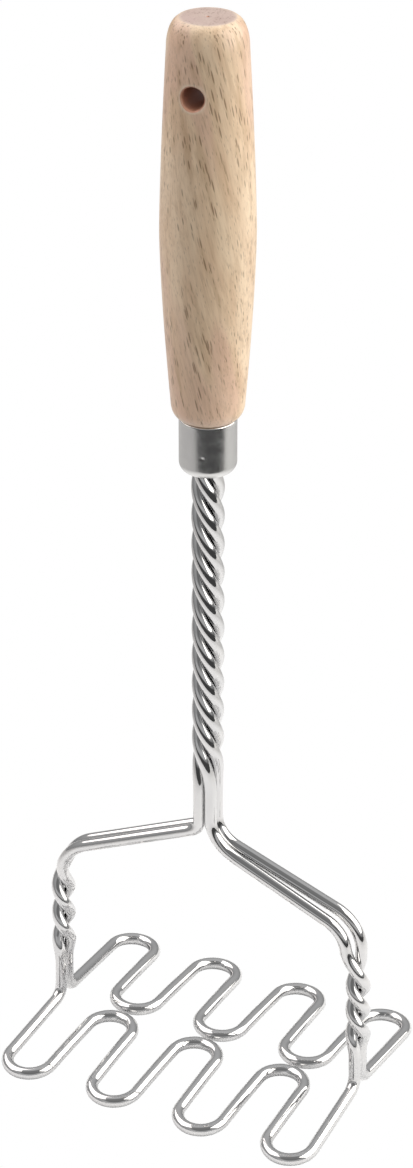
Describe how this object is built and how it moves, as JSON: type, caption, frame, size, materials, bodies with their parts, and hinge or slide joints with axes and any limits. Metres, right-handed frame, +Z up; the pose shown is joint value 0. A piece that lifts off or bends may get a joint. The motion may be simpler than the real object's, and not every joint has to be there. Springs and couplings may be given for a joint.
{
  "type": "potato masher",
  "caption": "Hand masher: wire zigzag grid on twisted risers and arms, twisted wire shank, steel ferrule and turned wooden handle with a hanging hole.",
  "frame": {"origin": "on the resting plane under the grid, on the handle's axis", "axes": "+Z up along the handle, X along the row of bends in the grid, -Y towards the front wire's grid"},
  "size_m": [0.1022, 0.078, 0.3115],
  "materials": {
    "handle_wood": "turned, sanded, thin satin lacquer",
    "ferrule_steel": "drawn and tumbled, satin",
    "plated_wire": "bright plated, polished"
  },
  "bodies": {
    "root": {"handle": "handle_wood", "ferrule": "ferrule_steel", "front_wire": "plated_wire", "rear_wire": "plated_wire"}
  },
  "joints": []
}
